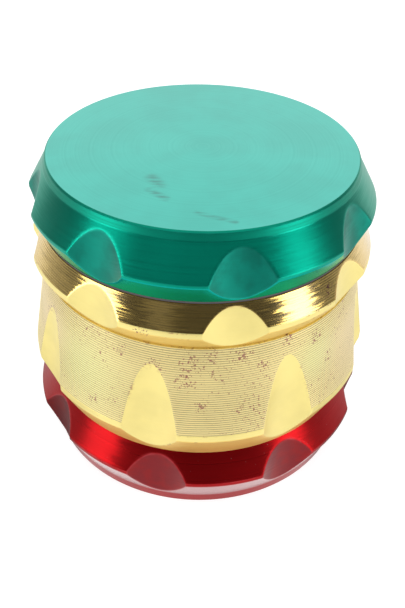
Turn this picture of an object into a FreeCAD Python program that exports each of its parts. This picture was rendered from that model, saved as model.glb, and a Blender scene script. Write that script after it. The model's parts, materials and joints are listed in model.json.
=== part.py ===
import FreeCAD, Part

import math
import os

# Four-section drum grinder for dry herbs: lid, grinding chamber, collector drum and powder tray,
# turned from bar, stacked on one axis and scooped round the rims for grip.
# Millimetres, +Z up, origin at the middle of the foot. Azimuths run from -Y towards +X.

# Overall diameter, at the widest land of the tray
BODY_DIAMETER = 63.0
BODY_RADIUS = BODY_DIAMETER / 2

# Outside of each section: heights above its own foot, and how far each edge lies inside the body radius
TRAY_HEIGHT = 12.65
TRAY_LAND_LOW = 6.9
TRAY_LAND_HIGH = 7.6
TRAY_FOOT_HEIGHT = 1.9
TRAY_FOOT_RADIUS = BODY_RADIUS - 2.65
TRAY_FLARE_RADIUS = BODY_RADIUS - 2.35
TRAY_TOP_RADIUS = BODY_RADIUS - 2.9

DRUM_HEIGHT = 23.35
DRUM_LAND_LOW = 5.4
DRUM_LAND_HIGH = 6.75
DRUM_FOOT_RADIUS = TRAY_TOP_RADIUS
DRUM_LAND_RADIUS = BODY_RADIUS - 0.3
DRUM_TOP_RADIUS = BODY_RADIUS - 3.3

RING_HEIGHT = 8.55
RING_LAND_LOW = 3.45
RING_LAND_HIGH = 4.5
RING_FOOT_RADIUS = BODY_RADIUS - 3.7
RING_LAND_RADIUS = BODY_RADIUS - 1.45
RING_TOP_RADIUS = BODY_RADIUS - 3.6

LID_HEIGHT = 11.15
LID_LAND_LOW = 3.65
LID_LAND_HIGH = 4.2
LID_BAND_HEIGHT = 1.45
LID_EDGE_BREAK = 0.25
LID_FOOT_RADIUS = RING_TOP_RADIUS
LID_LAND_RADIUS = BODY_RADIUS - 1.8
LID_SHOULDER_RADIUS = BODY_RADIUS - 4.9
LID_TOP_RADIUS = BODY_RADIUS - 5.3

# Grip scoops: depth below the land, radius of the cutter, its lean in degrees and the first scoop's azimuth
SCOOP_COUNT = 8
TRAY_SCOOP = {"depth": 2.24, "radius": 8.95, "lean": 1.9, "azimuth": -13.1}
DRUM_SCOOP = {"depth": 2.01, "radius": 8.0, "lean": 1.5, "azimuth": -15.1}
RING_SCOOP = {"depth": 1.95, "radius": 8.95, "lean": 0.0, "azimuth": 10.7}
LID_SCOOP = {"depth": 1.97, "radius": 8.95, "lean": 7.0, "azimuth": 12.4}

# Screwed joints, each a plain collar in a plain socket
RIM_WALL = 3.3
THREAD_RADIUS = DRUM_TOP_RADIUS - RIM_WALL
THREAD_LENGTH = 4.0
THREAD_CLEARANCE = 0.08
SOCKET_RUNOUT = 0.4
COLLAR_WALL = 2.4
COLLAR_LEAD_IN = 0.5

# Lid skirt turning on the chamber's spigot, with a slip washer between the shoulders
SKIRT_WALL = 2.5
SPIGOT_CLEARANCE = 0.08
SPIGOT_WALL = 1.9
SPIGOT_HEIGHT = 4.5
SPIGOT_LEAD_IN = 0.4
WASHER_THICKNESS = 0.55
WASHER_INSET = 0.15

# Hollows
TRAY_FLOOR = 2.4
TRAY_BOWL_STEP = 1.1
TRAY_BOWL_FILLET = 8.0
DRUM_BORE_STEP = 0.7
CHAMBER_FLOOR = 3.0
LID_PLATE = 3.6

# Sieve on a ledge at the bottom of the drum, and the ring that holds it down
SIEVE_LEDGE = 0.3
SIEVE_THICKNESS = 0.3
SIEVE_PITCH = 2.8
SIEVE_BAR = 0.6
SIEVE_RIM = 2.2
SIEVE_CLEARANCE = 0.08
RETAINER_HEIGHT = 1.0
RETAINER_WIDTH = 1.5

# Magnets at the middle of the lid and of the chamber
MAGNET_RADIUS = 3.0
MAGNET_THICKNESS = 3.0
MAGNET_CLEARANCE = 0.05
MAGNET_WALL = 1.4
MAGNET_GAP = 0.4
POST_HEIGHT = 8.0

# Shear teeth in rings that pass one another: counts from the middle outwards, lid and chamber by turns
LID_TOOTH_COUNTS = [4, 6, 10]
CHAMBER_TOOTH_COUNTS = [6, 10]
TOOTH_PASS_GAP = 0.85
TOOTH_LENGTH = 4.6
TOOTH_TIP_SHARE = 0.85
CHAMBER_TOOTH_HEIGHT = 8.5
LID_TOOTH_FLOOR_GAP = 2.0

# Drop holes in the chamber floor: counts from the middle outwards
DROP_HOLE_RADIUS = 1.9
DROP_HOLE_EDGE = 0.4
DROP_HOLE_COUNTS = [6, 12, 20]

# Azimuth of the lane that every ring of teeth leaves open
LANE_AZIMUTH = 90.0

# Heights where one piece meets the next
RING_BASE = TRAY_HEIGHT + DRUM_HEIGHT
RING_TOP = RING_BASE + RING_HEIGHT
LID_BASE = RING_TOP + WASHER_THICKNESS
LID_CEILING = LID_BASE + LID_HEIGHT - LID_PLATE
FLOOR_TOP = RING_BASE + CHAMBER_FLOOR
POST_TOP = FLOOR_TOP + POST_HEIGHT
BOSS_FOOT = POST_TOP + MAGNET_GAP
SIEVE_BASE = TRAY_HEIGHT + SIEVE_LEDGE
SIEVE_TOP = SIEVE_BASE + SIEVE_THICKNESS

# Radii shared by the pieces that fit into one another
SOCKET_RADIUS = THREAD_RADIUS + THREAD_CLEARANCE
SOCKET_DEPTH = THREAD_LENGTH + SOCKET_RUNOUT
COLLAR_BORE = THREAD_RADIUS - COLLAR_WALL
DRUM_BORE = THREAD_RADIUS - DRUM_BORE_STEP
BOWL_RADIUS = THREAD_RADIUS - TRAY_BOWL_STEP
SIEVE_RADIUS = DRUM_BORE - SIEVE_CLEARANCE
SKIRT_RADIUS = LID_FOOT_RADIUS - SKIRT_WALL
SPIGOT_RADIUS = SKIRT_RADIUS - SPIGOT_CLEARANCE
CHAMBER_RADIUS = SPIGOT_RADIUS - SPIGOT_WALL
MAGNET_SEAT = MAGNET_RADIUS + MAGNET_CLEARANCE
POST_RADIUS = MAGNET_RADIUS + MAGNET_WALL

# Tooth rings share the room between the post and the chamber wall
RING_COUNT = len(LID_TOOTH_COUNTS) + len(CHAMBER_TOOTH_COUNTS)
TOOTH_WIDTH = (CHAMBER_RADIUS - POST_RADIUS - (RING_COUNT + 1) * TOOTH_PASS_GAP) / RING_COUNT
RING_PITCH = TOOTH_WIDTH + TOOTH_PASS_GAP
FIRST_RING = POST_RADIUS + TOOTH_PASS_GAP + TOOTH_WIDTH / 2
TOOTH_RINGS = [FIRST_RING + index * RING_PITCH for index in range(RING_COUNT)]
LID_RINGS = TOOTH_RINGS[0::2]
CHAMBER_RINGS = TOOTH_RINGS[1::2]
OUTER_HOLE_RING = COLLAR_BORE - DROP_HOLE_RADIUS - DROP_HOLE_EDGE
HOLE_RINGS = LID_RINGS[:-1] + [OUTER_HOLE_RING]

# How far fused pieces reach into one another, and how near an edge is to the height that it lies at
EMBED = 0.5
LEVEL_TOLERANCE = 0.01

ORIGIN = FreeCAD.Vector(0, 0, 0)
UP = FreeCAD.Vector(0, 0, 1)


def at(radius, azimuth, height):
    """Point at a radius and an azimuth in degrees."""
    angle = math.radians(azimuth)
    return FreeCAD.Vector(radius * math.sin(angle), -radius * math.cos(angle), height)


def closed_wire(corners):
    return Part.makePolygon(corners + corners[:1])


def cylinder(radius, low, high):
    return Part.makeCylinder(radius, high - low, FreeCAD.Vector(0, 0, low), UP)


def washer(inner, outer, low, high):
    return cylinder(outer, low, high).cut(cylinder(inner, low, high))


def edges_at(body, height):
    """Edges that lie flat at a height."""
    boxes = [(edge, edge.BoundBox) for edge in body.Edges]
    return [edge for edge, box in boxes if max(height - box.ZMin, box.ZMax - height) < LEVEL_TOLERANCE]


def led_in(radius, low, high, end, lead_in):
    """Cylinder with a chamfer round one end, which leads it into its fit."""
    plain = cylinder(radius, low, high)
    return plain.makeChamfer(lead_in, edges_at(plain, end))


def scooped(outline, land_radius, land_low, land_high, scoop):
    """Turned body with scoops round its rim: one sector is turned and cut, then patterned about Z."""
    step = 360.0 / SCOOP_COUNT
    azimuth = scoop["azimuth"]
    edge = at(1, azimuth - step / 2, 0)
    section = Part.Face(closed_wire([edge * radius + UP * height for radius, height in outline]))
    sector = section.revolve(ORIGIN, UP, step)
    reach = outline[-1][1]
    middle = (land_low + land_high) / 2
    axis_radius = land_radius - scoop["depth"] + scoop["radius"]
    drift = reach * math.tan(math.radians(scoop["lean"]))
    low = at(axis_radius + drift, azimuth, middle - reach)
    high = at(axis_radius - drift, azimuth, middle + reach)
    sector = sector.cut(Part.makeCylinder(scoop["radius"], (high - low).Length, low, high - low))
    sectors = []
    for index in range(SCOOP_COUNT):
        copy = sector.copy()
        copy.rotate(ORIGIN, UP, index * step)
        sectors.append(copy)
    return sectors[0].fuse(sectors[1:]).removeSplitter()


def diamond(radius, azimuth, height, share):
    """Tooth outline whose long diagonal lies along the turn."""
    middle = at(radius, azimuth, height)
    outward = at(TOOTH_WIDTH / 2 * share, azimuth, 0)
    along = at(TOOTH_LENGTH / 2 * share, azimuth + 90, 0)
    return closed_wire([middle + outward, middle + along, middle - outward, middle - along])


def teeth(rings, counts, root, tip):
    """Rings of diamond teeth that taper from root to tip."""
    made = []
    for radius, count in zip(rings, counts):
        for index in range(count):
            azimuth = LANE_AZIMUTH + (index + 0.5) * 360.0 / count
            ends = [diamond(radius, azimuth, root, 1.0), diamond(radius, azimuth, tip, TOOTH_TIP_SHARE)]
            made.append(Part.makeLoft(ends, True, True))
    return made


def drop_holes(low, high):
    """Rings of holes in the chamber floor, the outer ones by pairs between the teeth."""
    holes = []
    for radius, count in zip(HOLE_RINGS, DROP_HOLE_COUNTS):
        for index in range(count):
            place = at(radius, LANE_AZIMUTH + (index + 0.5) * 360.0 / count, low)
            holes.append(Part.makeCylinder(DROP_HOLE_RADIUS, high - low, place, UP))
    return holes


def powder_tray():
    """Bottom tray: a bowl with a round inner corner under the socket for the drum."""
    outline = [
        (0, 0),
        (TRAY_FOOT_RADIUS, 0),
        (TRAY_FLARE_RADIUS, TRAY_FOOT_HEIGHT),
        (BODY_RADIUS, TRAY_LAND_LOW),
        (BODY_RADIUS, TRAY_LAND_HIGH),
        (TRAY_TOP_RADIUS, TRAY_HEIGHT),
        (0, TRAY_HEIGHT),
    ]
    body = scooped(outline, BODY_RADIUS, TRAY_LAND_LOW, TRAY_LAND_HIGH, TRAY_SCOOP)
    bowl = cylinder(BOWL_RADIUS, TRAY_FLOOR, TRAY_HEIGHT)
    bowl = bowl.makeFillet(TRAY_BOWL_FILLET, edges_at(bowl, TRAY_FLOOR))
    socket = cylinder(SOCKET_RADIUS, TRAY_HEIGHT - SOCKET_DEPTH, TRAY_HEIGHT)
    return body.cut([bowl, socket])


def collector_drum():
    """Drum with a socket for the chamber above and, below, a screwed collar with the sieve's ledge on it."""
    outline = [
        (0, 0),
        (DRUM_FOOT_RADIUS, 0),
        (DRUM_LAND_RADIUS, DRUM_LAND_LOW),
        (DRUM_LAND_RADIUS, DRUM_LAND_HIGH),
        (DRUM_TOP_RADIUS, DRUM_HEIGHT),
        (0, DRUM_HEIGHT),
    ]
    body = scooped(outline, DRUM_LAND_RADIUS, DRUM_LAND_LOW, DRUM_LAND_HIGH, DRUM_SCOOP)
    body.translate(UP * TRAY_HEIGHT)
    collar_foot = TRAY_HEIGHT - THREAD_LENGTH
    body = body.fuse(led_in(THREAD_RADIUS, collar_foot, TRAY_HEIGHT + EMBED, collar_foot, COLLAR_LEAD_IN))
    passage = cylinder(COLLAR_BORE, collar_foot, RING_BASE)
    bore = cylinder(DRUM_BORE, SIEVE_BASE, RING_BASE)
    socket = cylinder(SOCKET_RADIUS, RING_BASE - SOCKET_DEPTH, RING_BASE)
    return body.cut([passage, bore, socket]).removeSplitter()


def sieve_mesh():
    """Flat net: one face with square gaps, given its thickness."""
    wires = [Part.Wire(Part.makeCircle(SIEVE_RADIUS, FreeCAD.Vector(0, 0, SIEVE_BASE), UP))]
    half_gap = (SIEVE_PITCH - SIEVE_BAR) / 2
    reach = int(SIEVE_RADIUS / SIEVE_PITCH)
    for column in range(-reach, reach + 1):
        for row in range(-reach, reach + 1):
            middle = FreeCAD.Vector(column * SIEVE_PITCH, row * SIEVE_PITCH, 0)
            if middle.Length + half_gap * math.sqrt(2) < SIEVE_RADIUS - SIEVE_RIM:
                corner = middle + FreeCAD.Vector(-half_gap, -half_gap, SIEVE_BASE)
                wires.append(Part.makePlane(2 * half_gap, 2 * half_gap, corner, UP).OuterWire)
    return Part.makeFace(wires, "Part::FaceMakerCheese").extrude(UP * SIEVE_THICKNESS)


def sieve_retaining_ring():
    return washer(SIEVE_RADIUS - RETAINER_WIDTH, SIEVE_RADIUS, SIEVE_TOP, SIEVE_TOP + RETAINER_HEIGHT)


def grinding_chamber():
    """Chamber with a spigot for the lid, a toothed and pierced floor, a magnet post and a screwed collar."""
    outline = [
        (0, 0),
        (RING_FOOT_RADIUS, 0),
        (RING_LAND_RADIUS, RING_LAND_LOW),
        (RING_LAND_RADIUS, RING_LAND_HIGH),
        (RING_TOP_RADIUS, RING_HEIGHT),
        (0, RING_HEIGHT),
    ]
    body = scooped(outline, RING_LAND_RADIUS, RING_LAND_LOW, RING_LAND_HIGH, RING_SCOOP)
    body.translate(UP * RING_BASE)
    collar_foot = RING_BASE - THREAD_LENGTH
    spigot_top = RING_TOP + SPIGOT_HEIGHT
    collar = led_in(THREAD_RADIUS, collar_foot, RING_BASE + EMBED, collar_foot, COLLAR_LEAD_IN)
    spigot = led_in(SPIGOT_RADIUS, RING_TOP - EMBED, spigot_top, spigot_top, SPIGOT_LEAD_IN)
    body = body.fuse([collar, spigot])
    hollow = cylinder(CHAMBER_RADIUS, FLOOR_TOP, spigot_top)
    passage = cylinder(COLLAR_BORE, collar_foot, RING_BASE)
    body = body.cut([hollow, passage])
    post = cylinder(POST_RADIUS, FLOOR_TOP - EMBED, POST_TOP)
    tip = FLOOR_TOP + CHAMBER_TOOTH_HEIGHT
    body = body.fuse([post] + teeth(CHAMBER_RINGS, CHAMBER_TOOTH_COUNTS, FLOOR_TOP - EMBED, tip))
    seat = cylinder(MAGNET_SEAT, POST_TOP - MAGNET_THICKNESS, POST_TOP)
    return body.cut([seat] + drop_holes(RING_BASE, FLOOR_TOP)).removeSplitter()


def chamber_magnet():
    return cylinder(MAGNET_RADIUS, POST_TOP - MAGNET_THICKNESS, POST_TOP)


def friction_ring():
    return washer(SKIRT_RADIUS, RING_TOP_RADIUS - WASHER_INSET, RING_TOP, LID_BASE)


def lid():
    """Cap with a skirt that turns on the spigot, hanging teeth and a boss for its magnet."""
    outline = [
        (0, 0),
        (LID_FOOT_RADIUS, 0),
        (LID_LAND_RADIUS, LID_LAND_LOW),
        (LID_LAND_RADIUS, LID_LAND_HIGH),
        (LID_SHOULDER_RADIUS, LID_HEIGHT - LID_BAND_HEIGHT),
        (LID_TOP_RADIUS, LID_HEIGHT - LID_EDGE_BREAK),
        (LID_TOP_RADIUS - LID_EDGE_BREAK, LID_HEIGHT),
        (0, LID_HEIGHT),
    ]
    body = scooped(outline, LID_LAND_RADIUS, LID_LAND_LOW, LID_LAND_HIGH, LID_SCOOP)
    body.translate(UP * LID_BASE)
    body = body.cut(cylinder(SKIRT_RADIUS, LID_BASE, LID_CEILING))
    boss = cylinder(POST_RADIUS, BOSS_FOOT, LID_CEILING + EMBED)
    tip = FLOOR_TOP + LID_TOOTH_FLOOR_GAP
    body = body.fuse([boss] + teeth(LID_RINGS, LID_TOOTH_COUNTS, LID_CEILING + EMBED, tip))
    return body.cut(cylinder(MAGNET_SEAT, BOSS_FOOT, BOSS_FOOT + MAGNET_THICKNESS)).removeSplitter()


def lid_magnet():
    return cylinder(MAGNET_RADIUS, BOSS_FOOT, BOSS_FOOT + MAGNET_THICKNESS)


PIECES = [
    powder_tray,
    collector_drum,
    sieve_mesh,
    sieve_retaining_ring,
    grinding_chamber,
    chamber_magnet,
    friction_ring,
    lid,
    lid_magnet,
]

os.makedirs("parts", exist_ok=True)
for piece in PIECES:
    piece().exportStep("parts/" + piece.__name__ + ".step")
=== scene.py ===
import json
import math
from functools import partial

import bmesh
import bpy
import numpy as np
from mathutils import Matrix, Vector
from mathutils.geometry import delaunay_2d_cdt

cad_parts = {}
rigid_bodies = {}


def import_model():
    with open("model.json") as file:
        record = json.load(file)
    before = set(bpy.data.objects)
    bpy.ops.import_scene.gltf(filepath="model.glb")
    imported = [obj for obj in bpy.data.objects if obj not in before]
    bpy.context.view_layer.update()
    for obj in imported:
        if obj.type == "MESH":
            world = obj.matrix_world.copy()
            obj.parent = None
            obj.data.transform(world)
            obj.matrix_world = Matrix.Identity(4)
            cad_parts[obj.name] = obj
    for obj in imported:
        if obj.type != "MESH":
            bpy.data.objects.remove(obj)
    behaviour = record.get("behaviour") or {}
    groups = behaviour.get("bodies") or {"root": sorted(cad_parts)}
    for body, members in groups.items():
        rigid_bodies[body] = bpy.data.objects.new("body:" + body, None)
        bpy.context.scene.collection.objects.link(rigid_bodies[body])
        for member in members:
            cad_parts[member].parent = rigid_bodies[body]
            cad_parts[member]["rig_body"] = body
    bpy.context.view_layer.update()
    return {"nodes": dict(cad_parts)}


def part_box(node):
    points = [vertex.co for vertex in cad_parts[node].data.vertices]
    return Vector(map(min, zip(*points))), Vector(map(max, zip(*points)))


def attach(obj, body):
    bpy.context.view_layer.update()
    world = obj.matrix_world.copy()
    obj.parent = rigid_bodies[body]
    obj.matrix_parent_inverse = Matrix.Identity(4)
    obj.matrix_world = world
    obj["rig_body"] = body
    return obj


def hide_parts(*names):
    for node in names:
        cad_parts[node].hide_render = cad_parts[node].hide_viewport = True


# Four-section drum grinder: turned and scooped shells with grooves, threads, teeth and a woven sieve.
# Sizes are in millimetres until a mesh is made. Azimuths are in degrees, from -Y towards +X.

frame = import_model()

MM = 0.001


# Height of a node's foot and top, and how far it reaches from the axis
def foot(node):
    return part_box(node)[0].z / MM


def top(node):
    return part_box(node)[1].z / MM


def reach(node):
    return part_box(node)[1].x / MM


# Heights and radii where the pieces meet, read from the frame
BODY_RADIUS = reach("powder_tray")
TRAY_TOP = top("powder_tray")
DRUM_TOP = top("collector_drum")
RING_TOP = foot("friction_ring")
LID_BASE = top("friction_ring")
LID_TOP = top("lid")
SPIGOT_TOP = top("grinding_chamber")
DRUM_COLLAR_FOOT = foot("collector_drum")
CHAMBER_COLLAR_FOOT = foot("grinding_chamber")
SIEVE_BASE = foot("sieve_mesh")
SIEVE_TOP = top("sieve_mesh")
SIEVE_RADIUS = reach("sieve_mesh")
POST_TOP = top("chamber_magnet")
BOSS_FOOT = foot("lid_magnet")
MAGNET_RADIUS = reach("lid_magnet")
MAGNET_THICKNESS = top("lid_magnet") - foot("lid_magnet")

# Outside of each section, as in the part's source: its radii and the heights of its land
TRAY_FOOT_RADIUS = BODY_RADIUS - 2.65
TRAY_FLARE_RADIUS = BODY_RADIUS - 2.35
TRAY_TOP_RADIUS = BODY_RADIUS - 2.9
TRAY_FOOT_HEIGHT = 1.9
TRAY_LAND = (6.9, 7.6)
DRUM_FOOT_RADIUS = TRAY_TOP_RADIUS
DRUM_LAND_RADIUS = BODY_RADIUS - 0.3
DRUM_TOP_RADIUS = BODY_RADIUS - 3.3
DRUM_LAND = (TRAY_TOP + 5.4, TRAY_TOP + 6.75)
RING_FOOT_RADIUS = BODY_RADIUS - 3.7
RING_LAND_RADIUS = BODY_RADIUS - 1.45
RING_TOP_RADIUS = BODY_RADIUS - 3.6
RING_LAND = (DRUM_TOP + 3.45, DRUM_TOP + 4.5)
LID_FOOT_RADIUS = RING_TOP_RADIUS
LID_LAND_RADIUS = BODY_RADIUS - 1.8
LID_SHOULDER_RADIUS = BODY_RADIUS - 4.9
LID_TOP_RADIUS = BODY_RADIUS - 5.3
LID_LAND = (LID_BASE + 3.65, LID_BASE + 4.2)
LID_BAND_HEIGHT = 1.45
LID_EDGE_BREAK = 0.25

# Inside: screwed joints, hollows, spigot and washer
SOCKET_RADIUS = DRUM_TOP_RADIUS - 3.22
THREAD_RADIUS = SOCKET_RADIUS - 0.08
SOCKET_DEPTH = 4.4
THREAD_PITCH = 1.5
THREAD_DEPTH = 0.75
THREAD_CHAMFER = 0.5
THREAD_RUN_OUT = 1.0
SOCKET_RELIEF = 0.6
COLLAR_RUN_OUT = 0.8
COLLAR_RELIEF = 0.5
COLLAR_BORE = THREAD_RADIUS - 2.4
COLLAR_OUTSIDE = COLLAR_BORE + 0.5
DRUM_BORE = THREAD_RADIUS - 0.7
BOWL_RADIUS = THREAD_RADIUS - 1.1
BOWL_FLOOR = 2.4
BOWL_FILLET = 8.0
BOWL_STEPS = 15
SKIRT_RADIUS = LID_FOOT_RADIUS - 2.5
SPIGOT_RADIUS = SKIRT_RADIUS - 0.08
CHAMBER_RADIUS = SPIGOT_RADIUS - 1.9
FLOOR_TOP = DRUM_TOP + 3.0
LID_CEILING = LID_TOP - 3.6
POST_RADIUS = MAGNET_RADIUS + 1.4
MAGNET_SEAT = MAGNET_RADIUS + 0.05
SPIGOT_LEAD_IN = 0.4
SMALL_CHAMFER = 0.2
RETAINER_BORE = SIEVE_RADIUS - 1.5
RETAINER_ROUND = 0.25
WASHER_ROUND = 0.12

# Rims that are left between a turned edge and the plain face inside it
UNDERSIDE_RIM = 3.0
LID_FACE_RIM = 1.5

# Thread, in shares of its pitch: from the middle of the root to the crest, and along a flank
THREAD_CREST = 0.42
THREAD_FLANK = 0.34

# Shear teeth and drop holes
LANE_AZIMUTH = 90.0
TOOTH_PASS_GAP = 0.85
LID_TOOTH_COUNTS = (4, 6, 10)
CHAMBER_TOOTH_COUNTS = (6, 10)
RING_COUNT = len(LID_TOOTH_COUNTS) + len(CHAMBER_TOOTH_COUNTS)
TOOTH_WIDTH = (CHAMBER_RADIUS - POST_RADIUS - (RING_COUNT + 1) * TOOTH_PASS_GAP) / RING_COUNT
TOOTH_LENGTH = 4.6
TOOTH_TIP_SHARE = 0.85
TOOTH_TIP_BREAK = 0.1
TOOTH_ROUND = 0.3
ROOT_FLARE = 0.06
ROOT_HEIGHT = 0.3
CHAMBER_TOOTH_TIP = FLOOR_TOP + 8.5
LID_TOOTH_TIP = FLOOR_TOP + 2.0
DROP_HOLE_RADIUS = 1.9
DROP_HOLE_COUNTS = (6, 12, 20)
DROP_HOLE_CHAMFER = 0.12
DROP_HOLE_RIM = 0.4

# How finely the meshes are divided
SCOOP_COUNT = 8
SECTOR = 360.0 / SCOOP_COUNT
SCOOP_COLUMNS = 9
LAND_COLUMNS = 10
COLUMNS = 2 * SCOOP_COUNT * (SCOOP_COLUMNS + LAND_COLUMNS)
EDGE_CROWDING = 1.5
ROUND_COLUMNS = 64
HOLE_COLUMNS = 28

# Rounded edges: the most that one takes of a run, its rows and their wear with a painted highlight, and a
# scoop's rounding and the width of its worn edge with a painted highlight
EDGE_ROUND = 0.14
EDGE_RUN_SHARE = 0.4
EDGE_ROWS = (0.25, 0.5, 0.75)
EDGE_WEAR_AND_HIGHLIGHT = (0.7, 1.0, 0.7)
SCOOP_EDGE_ROUND = 0.16
WORN_HIGHLIT_WIDTH = 0.12


def polar(radius, azimuth, height):
    """Points at radii and azimuths, in any shape that fits together."""
    angle = np.radians(azimuth)
    parts = np.broadcast_arrays(radius * np.sin(angle), -radius * np.cos(angle), height)
    return np.stack(parts, axis=-1).astype(float)


def azimuths(count):
    """Azimuths that divide a circle evenly."""
    return np.arange(count) * 360.0 / count


def circle(radius, height, count, centre=0.0):
    return polar(radius, azimuths(count), height) + centre


def eased(share):
    share = np.clip(share, 0.0, 1.0)
    return share * share * (3 - 2 * share)


def add_object(name, data):
    made = bpy.data.objects.new(name, data)
    bpy.context.scene.collection.objects.link(made)
    return made


def in_convex(loop, places):
    """Which places lie inside a convex loop, seen from above."""
    start = loop[:, :2]
    run = np.roll(start, -1, axis=0) - start
    offset = places[:, None, :] - start
    side = run[:, 0] * offset[:, :, 1] - run[:, 1] * offset[:, :, 0]
    return np.all(side > 0, axis=1) | np.all(side < 0, axis=1)


class Piece:
    """One piece, gathered patch by patch and then sewn into one mesh. Patches have the piece's own finish
    unless they name another, and turned ones start at the azimuth of its seam."""

    WELD = 0.002 * MM
    PLATE_WELD = 1e-7
    TRIANGLES_INSIDE = 1
    SHARP_ANGLE = 32.0

    def __init__(self, name, finish, seam=0.0):
        self.name = name
        self.finish = finish
        self.seam = seam
        self.points = []
        self.traits = {"worn_and_highlit": [], "valley": []}
        self.faces = []
        self.finishes = []
        self.count = 0

    def add_points(self, points, worn_and_highlit=0.0, valley=0.0):
        """Adds points with their wear and painted edge highlight, and their depth in a turned groove.
        Returns the first one's number.
        """
        flat = np.asarray(points, float).reshape(-1, 3)
        self.points.append(flat)
        for trait, value in (("worn_and_highlit", worn_and_highlit), ("valley", valley)):
            self.traits[trait].append(np.broadcast_to(value, np.shape(points)[:-1]).ravel())
        self.count += len(flat)
        return self.count - len(flat)

    def grid(self, rows, finishes=None, worn_and_highlit=0.0, valley=0.0):
        """Faces between rows of points that each close round, with one finish or one for each face."""
        height, width = rows.shape[:2]
        first = self.add_points(rows, worn_and_highlit, valley)
        index = first + np.arange(height * width).reshape(height, width)
        beside = np.roll(index, -1, axis=1)
        quads = np.stack([index[:-1], beside[:-1], beside[1:], index[1:]], axis=-1)
        self.faces.extend(quads.reshape(-1, 4).tolist())
        finishes = self.finish if finishes is None else finishes
        self.finishes.extend(np.broadcast_to(finishes, (height - 1, width)).ravel().tolist())

    def bridge(self, first, second, finish=None):
        self.grid(np.stack([first, second]), finish)

    def cap(self, loop):
        first = self.add_points(loop)
        self.faces.append(list(range(first, first + len(loop))))
        self.finishes.append(self.finish)

    def capped(self, rows):
        """Grid with a cap on its last row. Returns its first row."""
        self.grid(rows)
        self.cap(rows[-1])
        return rows[0]

    def plate(self, loops):
        """Flat face inside the first loop, with the others as holes in it."""
        corners = [Vector(point[:2]) for loop in loops for point in loop]
        edges = []
        for loop in loops:
            first = len(edges)
            edges.extend((first + i, first + (i + 1) % len(loop)) for i in range(len(loop)))
        flat, _, faces = delaunay_2d_cdt(corners, edges, [], self.TRIANGLES_INSIDE, self.PLATE_WELD)[:3]
        middles = np.array(flat)[np.array(faces)].mean(axis=1)
        pierced = np.any([in_convex(loop, middles) for loop in loops[1:]], axis=0)
        first = self.add_points([(corner.x, corner.y, loops[0][0][2]) for corner in flat])
        kept = [[first + i for i in face] for face, hole in zip(faces, pierced) if not hole]
        self.faces.extend(kept)
        self.finishes.extend([self.finish] * len(kept))

    def build(self, node):
        """Sews the patches and shows the piece in place of a node, riding on that node's body."""
        mesh = bpy.data.meshes.new(self.name)
        mesh.from_pydata((np.concatenate(self.points) * MM).tolist(), [], self.faces)
        used = sorted(set(self.finishes))
        for finish in used:
            mesh.materials.append(MATERIALS[finish])
        mesh.polygons.foreach_set("material_index", [used.index(finish) for finish in self.finishes])
        for trait, values in self.traits.items():
            attribute = mesh.attributes.new(trait, "FLOAT", "POINT")
            attribute.data.foreach_set("value", np.concatenate(values).astype(np.float32))
        sewn = bmesh.new()
        sewn.from_mesh(mesh)
        bmesh.ops.remove_doubles(sewn, verts=sewn.verts, dist=self.WELD)
        bmesh.ops.recalc_face_normals(sewn, faces=sewn.faces)
        sewn.to_mesh(mesh)
        sewn.free()
        mesh.shade_smooth()
        mesh.set_sharp_from_angle(angle=math.radians(self.SHARP_ANGLE))
        piece = add_object(self.name, mesh)
        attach(piece, frame["nodes"][node]["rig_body"])
        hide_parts(node)


def outline_rows(start, runs, plain):
    """Rows (radius, height) along an outline with rounded edges, each band's finish and each row's wear and
    painted edge highlight.
    A run is its end's radius and height, how many bands it has and, unless it is plain, its finish."""
    places = np.array([start] + [run[:2] for run in runs], float)
    steps = np.diff(places, axis=0)
    lengths = np.linalg.norm(steps, axis=1)
    directions = steps / lengths[:, None]
    room = EDGE_RUN_SHARE * lengths
    cuts = [0.0] + [min(EDGE_ROUND, *pair) for pair in zip(room, room[1:])] + [0.0]
    rows, bands, worn_and_highlit = [], [], []
    for index, (_, _, count, *named) in enumerate(runs):
        finish = named[0] if named else plain
        low = places[index] + directions[index] * cuts[index]
        high = places[index + 1] - directions[index] * cuts[index + 1]
        rows.extend(low + (high - low) * share for share in np.linspace(0, 1, count + 1))
        worn_and_highlit.extend([0.0] * (count + 1))
        bands.extend([finish] * count)
        if index + 1 < len(runs):
            corner = places[index + 1]
            after = corner + directions[index + 1] * cuts[index + 1]
            for share in EDGE_ROWS:
                rows.append(high * (1 - share) ** 2 + corner * 2 * share * (1 - share) + after * share ** 2)
            worn_and_highlit.extend(EDGE_WEAR_AND_HIGHLIGHT)
            bands.extend([finish] * (len(EDGE_ROWS) + 1))
    return np.array(rows), np.array(bands), np.array(worn_and_highlit)


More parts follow.
